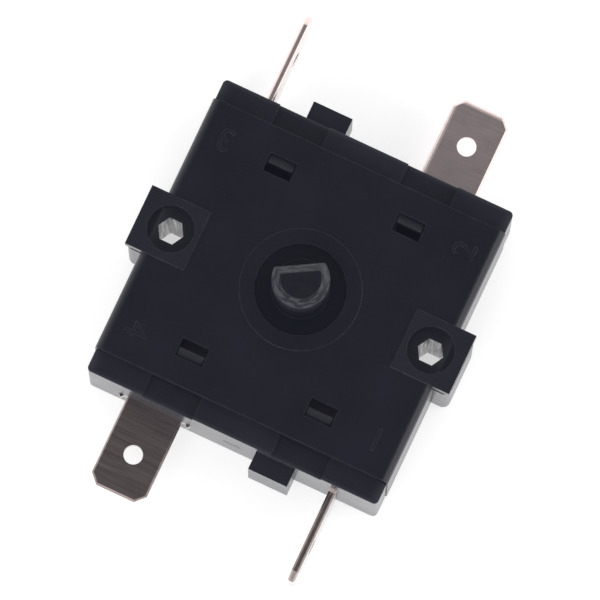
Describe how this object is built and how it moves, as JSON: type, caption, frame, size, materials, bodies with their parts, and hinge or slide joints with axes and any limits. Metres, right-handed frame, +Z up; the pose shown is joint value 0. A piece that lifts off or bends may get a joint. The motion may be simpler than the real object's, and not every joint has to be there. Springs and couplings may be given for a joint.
{
  "type": "rotary selector switch",
  "caption": "Square black rotary switch with a D-shaped plastic shaft, two screw ears and four quick-connect tabs at its ends.",
  "frame": {"origin": "on the shaft's axis, at the flat underside of the base", "axes": "+Z up the shaft; +X along the line of the two screw ears; +Y towards the rear tabs"},
  "size_m": [0.0368, 0.0542, 0.0222],
  "materials": {
    "base_plastic": "moulded black plastic, slight sheen",
    "cover_plastic": "moulded black plastic, fine grain",
    "rotor_plastic": "moulded black plastic, lightly scuffed at the tip",
    "tab_dark": "tinned brass, brushed across, slightly dulled",
    "tab_light": "tinned brass, smooth",
    "bridge_metal": "copper alloy strip",
    "contact_silver": "silver contact rivets",
    "spring_steel": "spring steel wire",
    "ball_steel": "polished steel balls"
  },
  "bodies": {
    "housing": {"housing_base": "base_plastic", "housing_cover": "cover_plastic", "terminal_flat_front": "tab_dark", "terminal_flat_rear": "tab_light", "terminal_upright_front": "tab_dark", "terminal_upright_rear": "tab_light", "detent_spring_front": "spring_steel", "detent_spring_rear": "spring_steel"},
    "rotor": {"rotor_shaft": "rotor_plastic", "contact_bridge_a": "bridge_metal", "contact_bridge_b": "bridge_metal", "contact_button_a1": "contact_silver", "contact_button_a2": "contact_silver", "contact_button_b1": "contact_silver", "contact_button_b2": "contact_silver", "bridge_spring_a": "spring_steel", "bridge_spring_b": "spring_steel"},
    "ball_front": {"detent_ball_front": "ball_steel"},
    "ball_rear": {"detent_ball_rear": "ball_steel"}
  },
  "joints": [
    {"name": "shaft_turn", "type": "hinge", "parent": "housing", "child": "rotor", "pos_m": [0, 0, 0.0132], "axis": [0, 0, 1], "range_deg": [-90, 0]},
    {"name": "detent_front", "type": "slide", "parent": "housing", "child": "ball_front", "axis": [0, 1, 0], "range_m": [0, 0.0005], "stiffness_N_per_m": 800, "springref_m": 0.003},
    {"name": "detent_rear", "type": "slide", "parent": "housing", "child": "ball_rear", "axis": [0, -1, 0], "range_m": [0, 0.0005], "stiffness_N_per_m": 800, "springref_m": 0.003}
  ]
}
